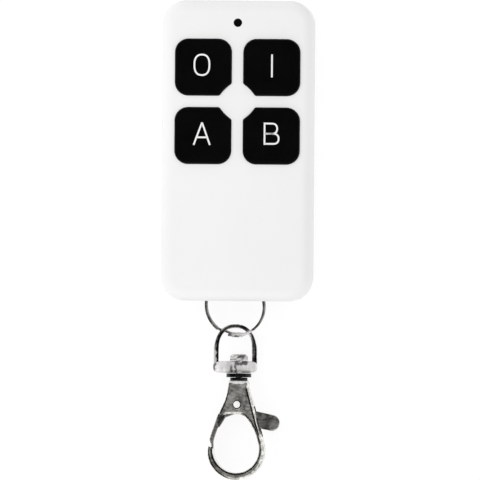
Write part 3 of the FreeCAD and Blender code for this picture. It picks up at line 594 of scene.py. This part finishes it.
# the hook and its lever: outlines in x and y from the hook's top, half thicknesses and rims
hook = {"top": -46.45, "roll": -6.0, "axisX": 0.35, "halfThick": 1.6, "leftRim": (0.4, 0.27),
        "rightRim": (0.7, 0.68), "innerRim": (0.42, 0.29), "bluntness": 1.75,
        "loopDrop": 13.69, "outer": 5.71, "innerDrop": 13.36, "inner": 4.69,
        "leftFlank": ((-1.44, 0), (-2.2, -3.3), (-3.3, -5.9), (-4.61, -9.6), (-5.36, -11.9),
                      (-5.71, -13.69)),
        "rightFlank": ((5.71, -13.69), (5.31, -11.1), (4.36, -7.7), (3.4, -4.1), (2.29, 0)),
        "leftInner": ((-1.7, -6.25), (-2.68, -7.2), (-3.7, -9.5), (-4.4, -11.7), (-4.69, -13.36)),
        "rightInner": ((4.69, -13.36), (4.33, -11.2), (3.5, -9.0), (2.4, -7.25), (0.9, -6.25)),
        "slitHalf": 0.85, "slit": ((-9, -10.7), (9, -10.7), (9, -5.0), (2.4, -4.6), (1.9, -2.2),
                                   (0.2, -1.8), (-9, -1.8)), "toolHalf": 4.0, "crease": 32}
gate = {"x": 0.2, "drop": 4.3, "reach": 10.15, "clear": 0.1, "sweep": (-93, -160),
        "mouth": ((-8.0, -5.3), (-2.0, -6.45)), "rim": (0.14, 0.16), "draft": 0.14,
        "armThick": 1.3, "webThick": 0.65, "tabThick": 1.1, "softEdge": 0.12,
        "fuller": 0.32, "fullFrom": (4.6, 6.2), "fullTo": (11.0, 12.9),
        "slimmer": 0.24, "slimFrom": (7.2, 8.6), "slimTo": (11.6, 12.9),
        "point": 0.5, "pointFrom": (11.2, 12.9)}


def movePoints(piece, change):
    # change turns the mesh's points, in metres, into their new places
    points = np.zeros(len(piece.data.vertices) * 3)
    piece.data.vertices.foreach_get("co", points)
    piece.data.vertices.foreach_set("co", change(points.reshape(-1, 3)).ravel())
    piece.data.update()


def rollPiece(piece):
    # the hook hangs turned a little about its swivel: its points turn about that axis
    def turned(points):
        return turnedAboutY(points / mm, hook["roll"], hook["axisX"]) * mm

    movePoints(piece, turned)


def leanPiece(piece, share):
    # draft of a casting's walls: x grows by a share of the height over the middle
    def leaned(points):
        points[:, 0] += share * (points[:, 2] - claspZ * mm)
        return points

    movePoints(piece, leaned)


def smoothLine(points, count, startSlope, endSlope):
    # a cubic Hermite curve through the points, where cubics of the share of the way weigh two ends
    # and their slopes, then spaced evenly along its length
    fine = 400
    points = np.array(points, float)
    gap = np.linalg.norm(np.diff(points, axis=0), axis=1)
    at = np.concatenate([[0], np.cumsum(gap)])
    slope = np.gradient(points, at, axis=0)
    slope[0] = np.array(startSlope) / np.linalg.norm(startSlope)
    slope[-1] = np.array(endSlope) / np.linalg.norm(endSlope)
    spot = np.linspace(0, at[-1], fine)
    k = np.clip(np.searchsorted(at, spot, "right") - 1, 0, len(gap) - 1)
    h = gap[k][:, None]
    t = ((spot - at[k]) / gap[k])[:, None]
    line = ((2 * t ** 3 - 3 * t ** 2 + 1) * points[k] + (t ** 3 - 2 * t ** 2 + t) * h * slope[k]
            + (3 * t ** 2 - 2 * t ** 3) * points[k + 1] + (t ** 3 - t ** 2) * h * slope[k + 1])
    run = np.concatenate([[0], np.cumsum(np.linalg.norm(np.diff(line, axis=0), axis=1))])
    even = np.linspace(0, run[-1], count)
    return np.stack([np.interp(even, run, line[:, 0]), np.interp(even, run, line[:, 1])], -1)


def halfCircle(radius, drop, count):
    # the lower half of a circle, from its left end
    t = np.linspace(-np.pi, 0, count)
    return np.stack([radius * np.cos(t), radius * np.sin(t) - drop], -1)


def hookOutlines():
    # the outer outline and the opening, point for point, from the top left down and round: a curve,
    # half a circle, a curve up and a straight line back
    side, top = 90, 30
    outer = [smoothLine(hook["leftFlank"], side, (-0.2, -1), (0, -1))[:-1],
             halfCircle(hook["outer"], hook["loopDrop"], side)[:-1],
             smoothLine(hook["rightFlank"], side, (0, 1), (-0.25, 1))[:-1],
             straight(hook["rightFlank"][-1], hook["leftFlank"][0], top)[:-1]]
    inner = [smoothLine(hook["leftInner"], side, (-1, 0), (0, -1))[:-1],
             halfCircle(hook["inner"], hook["innerDrop"], side)[:-1],
             smoothLine(hook["rightInner"], side, (0, 1), (-1, 0))[:-1],
             straight(hook["rightInner"][-1], hook["leftInner"][0], top)[:-1]]
    return np.vstack(outer), np.vstack(inner)


def outlineNormal(line):
    # the left-hand normal of a closed outline, smoothed over a few points
    along = np.roll(line, -1, 0) - np.roll(line, 1, 0)
    normal = np.stack([-along[:, 1], along[:, 0]], -1)
    for _ in range(3):
        normal = normal + np.roll(normal, 1, 0) + np.roll(normal, -1, 0)
    return unit(normal)


def hookBand(outlines, halfThick, leftRim, rightRim, innerRim):
    # rows run from the outer wall over the rim, across the face, over the inner rim and down the
    # opening's wall, then back underneath; a rim (in, down) is round on the left and inside, by one
    # less a power of cosine or sine, and on the right flank a shallow chamfer over a steep one
    band = {"facing": (0.2, 0.8), "rightEnds": (14.0, 17.5), "topShare": 0.1,
            "topDrops": (0.0, 1.0), "outerLimit": 0.48, "innerLimit": 0.4, "rimRows": 11,
            "faceRows": 9,
            "stepIn": (0, 0.08, 0.24, 0.44, 0.52, 0.6, 0.69, 0.78, 0.88, 0.95, 1.0),
            "stepDown": (1.0, 0.88, 0.67, 0.42, 0.34, 0.28, 0.21, 0.14, 0.06, 0.015, 0.0)}
    outer, inner = outlines
    inward, outward = outlineNormal(outer), -outlineNormal(inner)
    width = np.linalg.norm(outer - inner, axis=1)[:, None]
    drop = -outer[:, 1:]
    facing = ramp(-inward[:, :1], *band["facing"]) * (1 - ramp(drop, *band["rightEnds"]))
    settle = band["topShare"] + (1 - band["topShare"]) * ramp(drop, *band["topDrops"])
    rimIn = leftRim[0] + (rightRim[0] - leftRim[0]) * facing
    rimIn = np.minimum(rimIn, band["outerLimit"] * width) * settle
    rimDown = (leftRim[1] + (rightRim[1] - leftRim[1]) * facing) * settle
    openIn = np.minimum(innerRim[0], band["innerLimit"] * width)
    t = np.linspace(0, np.pi / 2, band["rimRows"])
    roundIn, roundDown = 1 - np.cos(t) ** hook["bluntness"], 1 - np.sin(t) ** hook["bluntness"]
    rows = []
    for k in range(len(t)):
        shareIn = roundIn[k] + (band["stepIn"][k] - roundIn[k]) * facing
        shareDown = roundDown[k] + (band["stepDown"][k] - roundDown[k]) * facing
        rows.append((outer + inward * rimIn * shareIn, halfThick - rimDown * shareDown))
    rimLine, openLine = outer + inward * rimIn, inner + outward * openIn
    level = np.full(width.shape, halfThick)
    for share in np.linspace(0, 1, band["faceRows"])[1:-1]:
        rows.append((rimLine * (1 - share) + openLine * share, level))
    for k in range(len(t))[::-1]:
        rows.append((inner + outward * openIn * roundIn[k], level - innerRim[1] * roundDown[k]))
    under = [(line, -z) for line, z in rows[::-1]]
    grid = np.stack([np.concatenate([line, z], -1) for line, z in rows + under], 1)
    return grid + np.array([0, hook["top"], claspZ])


def prism(name, outline, halfThick):
    # an outline in x and y, as thick as asked about the hook's middle; the sign of its area, half
    # the sum of its points' cross products, tells which way it runs
    line = np.array(outline, float)
    after = np.roll(line, -1, 0)
    if np.sum(line[:, 0] * after[:, 1] - after[:, 0] * line[:, 1]) < 0:
        line = line[::-1]
    count = len(line)
    low = np.concatenate([line, np.full((count, 1), claspZ - halfThick)], -1)
    high = np.concatenate([line, np.full((count, 1), claspZ + halfThick)], -1)
    around = [(n, (n + 1) % count, count + (n + 1) % count, count + n) for n in range(count)]
    mesh = bpy.data.meshes.new(name)
    mesh.from_pydata(np.vstack([low, high]) * mm, [],
                     around + [tuple(range(count))[::-1], tuple(range(count, 2 * count))])
    return addObject(name, mesh)


def carve(piece, tool, operation):
    # cuts piece by tool, keeps the result as its mesh and takes the tool away
    cut = piece.modifiers.new("cut", "BOOLEAN")
    cut.operation = operation
    cut.solver = "EXACT"
    cut.object = tool
    bpy.context.view_layer.update()
    depsgraph = bpy.context.evaluated_depsgraph_get()
    shape = bpy.data.meshes.new_from_object(piece.evaluated_get(depsgraph))
    piece.modifiers.clear()
    piece.data = shape
    bpy.data.objects.remove(tool)
    shape.shade_smooth()
    shape.set_sharp_from_angle(angle=math.radians(hook["crease"]))


def gateStretch(grow):
    # the part of the left limb that the gate's arm closes, below the mouth line and inside a circle
    # round the pivot; grow moves both edges out, or in if it is negative
    (x0, y0), (x1, y1) = gate["mouth"]
    reach = gate["reach"] + grow
    t = np.radians(np.linspace(*gate["sweep"], 40))
    arc = np.stack([gate["x"] + reach * np.cos(t), -gate["drop"] + reach * np.sin(t)], -1)
    arc = arc[(arc[:, 0] > x0) & (arc[:, 0] < x1)]
    line = np.vstack([[(x0, y0 + grow), (x1, y1 + grow)], arc])
    return line + np.array([0, hook["top"]])


def hookBody():
    # the casting, with the gate's stretch and the lever's slit cut out of it
    band = hookBand(hookOutlines(), hook["halfThick"], hook["leftRim"], hook["rightRim"],
                    hook["innerRim"])
    body = gridMesh("hook_casting", band * mm, finishes["hookNickel"], wrapU=True)
    carve(body, prism("gateCut", gateStretch(0), hook["toolHalf"]), "DIFFERENCE")
    slit = np.array(hook["slit"]) + np.array([0, hook["top"]])
    carve(body, prism("slitCut", slit, hook["slitHalf"]), "DIFFERENCE")
    rollPiece(body)
    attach(body, "hook")
    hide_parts("hook_body")


def lathe(name, profile, axisPoint, axis, material, count=72):
    # a profile of (radius, height) turned about an axis along y or z: radius times cosine and sine
    # across it, height along it
    profile = np.array(profile, float)
    t = np.linspace(0, 2 * np.pi, count, endpoint=False)
    r, h = profile[:, 0][:, None], profile[:, 1][:, None] * np.ones(count)
    c, s = np.cos(t)[None, :], np.sin(t)[None, :]
    if axis == "y":
        grid = np.stack([r * s, h, r * c], -1)
    else:
        grid = np.stack([r * c, r * s, h], -1)
    return gridMesh(name, (grid + np.array(axisPoint)) * mm, material, caps=True)


def hookNeck():
    # collar of the hook under the washer: a waist painted dark as painted shade, a rounded flange
    # painted bright as a painted reflection and a foot in the casting, as (radius, height over the
    # hook's sunk top)
    neck = {"sink": 0.12,
            "hook_waist": ("washerDarkAndPaintedShade", ((0.95, 1.17), (1.6, 1.17), (1.75, 1.1), (1.75, 0.56),
                                          (1.2, 0.5))),
            "hook_flange": ("flangeNickelPaintedBright", ((1.3, 0.58), (1.9, 0.57), (2.02, 0.49), (2.05, 0.38),
                                             (2.05, 0.17), (2.02, 0.07), (1.93, 0.0),
                                             (1.5, -0.02), (1.4, -0.5)))}
    base = hook["top"] - neck["sink"]
    for name in ("hook_waist", "hook_flange"):
        finish, profile = neck[name]
        rows = [(radius, base + height) for radius, height in profile[::-1]]
        piece = lathe(name, rows, (hook["axisX"], 0, claspZ), "y", finishes[finish])
        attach(piece, "hook")


def armOutlines():
    # the hook's own outlines, with the arm a little fuller outside and pointed at its tip: each
    # change is a reach along the normal times smooth steps of the drop
    outer, inner = hookOutlines()
    inward, outward = outlineNormal(outer), -outlineNormal(inner)
    drop = -outer[:, 1:]
    full = ramp(drop, *gate["fullFrom"]) * (1 - ramp(drop, *gate["fullTo"]))
    point = ramp(drop, *gate["pointFrom"])
    left = outer[:, :1] < 0
    outer = outer - inward * left * (gate["fuller"] * full - gate["point"] * point)
    drop = -inner[:, 1:]
    slim = ramp(drop, *gate["slimFrom"]) * (1 - ramp(drop, *gate["slimTo"]))
    inner = inner + outward * (inner[:, :1] < 0) * gate["slimmer"] * slim
    return outer, inner


def gateWeb():
    # a flat plate that joins the arm, the pivot and the tab, with softened edges
    outline = [(-1.1, -3.2), (-3.0, -6.0), (-4.15, -8.7), (-3.55, -9.0), (-2.35, -7.0),
               (0.2, -6.05), (1.9, -6.8), (3.1, -8.4), (4.4, -8.9), (4.1, -6.7), (2.91, -6.15),
               (2.27, -5.8), (1.59, -5.27), (1.87, -4.6), (1.8, -3.72), (1.29, -3.0), (0.2, -2.6)]
    plate = prism("gate_web", np.array(outline) + np.array([0, hook["top"]]), gate["webThick"])
    plate.data.materials.append(finishes["leverNickel"])
    bevel = plate.modifiers.new("softEdges", "BEVEL")
    bevel.width = gate["softEdge"] * mm
    bevel.segments = 2
    return plate


def gateTab():
    # a flat bar with a half-round end: half width is the root of radius squared less the way past
    # the round's centre squared, half thickness closes by a high power of that way, and both rise
    # from the web by a square root
    tab = {"start": (3.2, -7.12), "end": (8.66, -8.28), "radius": 1.62, "root": 0.17,
           "rootPower": 0.5, "thicken": (1.6, 4.6), "endPower": 16, "endRoot": 0.4, "power": 8.0}
    start, end = np.array(tab["start"]), np.array(tab["end"])
    length = np.linalg.norm(end - start)
    run = (np.sin(np.linspace(-np.pi / 2, np.pi / 2, 90)[1:-1]) + 1) / 2 * length
    along = (end - start) / length
    line = start + run[:, None] * along
    spine = np.concatenate([line, np.zeros((len(run), 1))], -1)
    spine = spine + np.array([0, hook["top"], claspZ])
    across = np.array([along[1], -along[0], 0.0])
    radius = tab["radius"]
    past = np.clip(run - (length - radius), 0, radius)
    root = np.clip(run / tab["root"], 0, 1) ** tab["rootPower"]
    wide = np.sqrt(radius ** 2 - past ** 2) * root
    thick = gate["webThick"] + (gate["tabThick"] - gate["webThick"]) * ramp(run, *tab["thicken"])
    thick = thick * (1 - (past / radius) ** tab["endPower"]) ** tab["endRoot"] * root
    grid = sweep(spine, across[None, :] * wide[:, None], np.array([[0, 0, 1.0]]) * thick[:, None],
                 superellipse(1.0, 1.0, tab["power"], 64))
    return gridMesh("gate_tab", grid * mm, finishes["leverNickel"], caps=True)


def gateLever():
    # the arm in the hook's left limb, the web in the slit and the thumb tab
    band = hookBand(armOutlines(), gate["armThick"], gate["rim"], gate["rim"], gate["rim"])
    arm = gridMesh("gate_arm", band * mm, finishes["leverNickel"], wrapU=True)
    carve(arm, prism("armCut", gateStretch(-gate["clear"]), hook["toolHalf"]), "INTERSECT")
    plate = gateWeb()
    tab = gateTab()
    for piece in (arm, tab):
        leanPiece(piece, gate["draft"])
    for piece in (arm, plate, tab):
        rollPiece(piece)
        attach(piece, "gate")
        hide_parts("gate_lever")


def pivotPin():
    # the pin's peened head on both faces, painted near white as a painted reflection, in a groove
    # painted dark as painted shade inside a low turned ring, as (radius, height over the face)
    turns = {"ring": ("hookNickel", [(0.86, -0.1), (0.88, 0.05), (0.93, 0.09), (1.02, 0.07),
                                     (1.12, -0.1)]),
             "groove": ("pinGroovePaintedShade", [(0.66, -0.1), (0.68, 0.02), (0.78, 0.03), (0.88, 0.02),
                                      (0.9, -0.1)]),
             "head": ("pinNickelPaintedBright", [(0.02, 0.15), (0.25, 0.145), (0.5, 0.12), (0.64, 0.07),
                                    (0.7, 0.02), (0.71, -0.2)])}
    middle = (gate["x"], hook["top"] - gate["drop"], claspZ)
    for end, sign in (("front", 1), ("back", -1)):
        for part, (finish, profile) in turns.items():
            rows = [(radius, sign * (hook["halfThick"] + height)) for radius, height in profile]
            if sign > 0:
                rows = rows[::-1]
            piece = lathe("pin_" + part + "_" + end, rows, middle, "z", finishes[finish])
            rollPiece(piece)
            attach(piece, "hook")


hookBody()
hookNeck()
gateLever()
pivotPin()
print("hook, lever and pin made")


def buildStage():
    # a white floor, which camera, mirror and clear rays see glow to near white under a faint shadow
    stage = {"size": 6.0, "drop": 0.05, "rough": 0.9, "shadow": 0.16, "lit": 0.8, "bounce": 0.85}
    half, z = stage["size"] / 2, -stage["drop"] * mm
    mesh = bpy.data.meshes.new("floor")
    mesh.from_pydata([(-half, -half, z), (half, -half, z), (half, half, z), (-half, half, z)], [],
                     [(0, 1, 2, 3)])
    floor = addObject("floor", mesh)
    paper = Finish("floorPaper", Roughness=stage["rough"], Specular_IOR_Level=0.0)
    path = paper.node("ShaderNodeLightPath", {}, {}, "Is Camera Ray")
    rays = path.socket.node.outputs
    shown = path.maths("MAXIMUM", path, Wire(paper, rays["Is Glossy Ray"]))
    shown = shown.maths("MAXIMUM", shown, Wire(paper, rays["Is Transmission Ray"]))
    glow = 1 - stage["shadow"] * stage["lit"]
    paper.feed("Base Color", paper.blend(shown, (stage["bounce"],) * 3, (stage["shadow"],) * 3))
    paper.feed("Emission Color", paper.blend(shown, (0.0, 0.0, 0.0), (glow,) * 3))
    paper.shader.inputs["Emission Strength"].default_value = 1.0
    mesh.materials.append(paper.material)


def reflectorCard(name, grey, corners):
    # a matt sheet that shows only in reflections
    mesh = bpy.data.meshes.new(name)
    mesh.from_pydata(corners, [], [tuple(range(len(corners)))])
    card = addObject(name, mesh)
    cloth = Finish(name + "Cloth", Roughness=1.0, Specular_IOR_Level=0.0)
    cloth.feed("Base Color", (grey,) * 3)
    mesh.materials.append(cloth.material)
    card.visible_camera = False
    card.visible_diffuse = False
    card.visible_shadow = False
    card.visible_transmission = False


def hangCards():
    # a grey card over the set, dark ones round it at the same height and a dark wall on the left
    grey, dark, top, foot = 0.32, 0.012, 0.4, 0.02
    cards = {
        "overheadCard": (grey, [(-0.3, -0.22, top), (0.23, -0.22, top), (0.23, 0.4, top),
                                (-0.3, 0.4, top)]),
        "leftCard": (dark, [(-4.0, -4.0, top), (-1.2, -4.0, top), (-0.3, -0.22, top),
                            (-0.3, 0.4, top), (-4.0, 0.4, top)]),
        "backCard": (dark, [(-4.0, 0.4, top), (1.0, 0.4, top), (1.0, 2.0, top), (-4.0, 2.0, top)]),
        "stripCard": (dark, [(0.23, -0.22, top), (1.0, -0.22, top), (1.0, 0.4, top),
                             (0.23, 0.4, top)]),
        "leftWall": (dark, [(-0.45, -0.32, foot), (-0.45, 0.3, foot), (-0.45, 0.3, top),
                            (-0.45, -0.32, top)]),
    }
    for name, (colour, corners) in cards.items():
        reflectorCard(name, colour, corners)


def studioWorld():
    # white for camera, mirror and clear rays, a little less for the rays that light the set
    fillStrength = 0.8
    world = bpy.data.worlds.new("studio")
    bpy.context.scene.world = world
    world.use_nodes = True
    tree = world.node_tree
    tree.nodes.clear()
    kinds = ("OutputWorld", "Background", "Background", "MixShader", "LightPath")
    output, white, fill, mix, path = [tree.nodes.new("ShaderNode" + kind) for kind in kinds]
    fill.inputs["Strength"].default_value = fillStrength
    tree.links.new(fill.outputs[0], mix.inputs[1])
    tree.links.new(white.outputs[0], mix.inputs[2])
    tree.links.new(mix.outputs[0], output.inputs["Surface"])
    white.inputs["Color"].default_value = fill.inputs["Color"].default_value = (1, 1, 1, 1)
    shown = path.outputs["Is Camera Ray"]
    for ray in ("Is Glossy Ray", "Is Transmission Ray"):
        either = tree.nodes.new("ShaderNodeMath")
        either.operation = "MAXIMUM"
        tree.links.new(shown, either.inputs[0])
        tree.links.new(path.outputs[ray], either.inputs[1])
        shown = either.outputs[0]
    tree.links.new(shown, mix.inputs[0])


def softLamps():
    # square lamps in metres and watts, aimed near the middle of the object's length
    lamps = {"aim": (0.0, -0.015, 0.0),
             "keyLamp": {"place": (-0.32, 0.1, 0.3), "size": 0.2, "power": 0.5},
             "fillLamp": {"place": (0.75, -0.1, 0.25), "size": 0.5, "power": 0.55},
             "lowLamp": {"place": (-0.1, -0.7, 0.16), "size": 0.4, "power": 0.72}}
    for name in ("keyLamp", "fillLamp", "lowLamp"):
        values = lamps[name]
        lamp = bpy.data.lights.new(name, "AREA")
        lamp.shape = "SQUARE"
        lamp.size = values["size"]
        lamp.energy = values["power"]
        holder = addObject(name, lamp)
        holder.location = values["place"]
        holder.visible_glossy = False
        aim = Vector(lamps["aim"]) - Vector(values["place"])
        holder.rotation_euler = aim.to_track_quat("-Z", "Y").to_euler()


def placeCamera():
    # looks down on the object from slightly right of straight-on, through a long lens
    shot = {"lens": 700.0, "sensor": 36.0, "frame": 96.0, "side": 2.3, "roll": 0.45,
            "aim": (0.54, -17.8, 7.0), "near": 0.01, "far": 20.0}
    side, roll = math.radians(shot["side"]), math.radians(shot["roll"])
    distance = shot["frame"] * mm * shot["lens"] / shot["sensor"]
    back = Vector((math.sin(side), 0.0, math.cos(side)))
    up = Vector((-math.sin(roll), math.cos(roll), 0.0))
    up = (up - back * up.dot(back)).normalized()
    right = up.cross(back)
    camera = bpy.data.cameras.new("camera")
    camera.lens = shot["lens"]
    camera.sensor_width = shot["sensor"]
    camera.clip_start = shot["near"]
    camera.clip_end = shot["far"]
    holder = addObject("camera", camera)
    spot = Vector(shot["aim"]) * mm + back * distance
    turn = holder.matrix_world.copy()
    for row in range(3):
        turn[row][0], turn[row][1], turn[row][2] = right[row], up[row], back[row]
        turn[row][3] = spot[row]
    holder.matrix_world = turn
    bpy.context.scene.camera = holder


buildStage()
hangCards()
studioWorld()
softLamps()
placeCamera()
bpy.context.scene.view_settings.view_transform = "Standard"
print("stage, light and camera set")
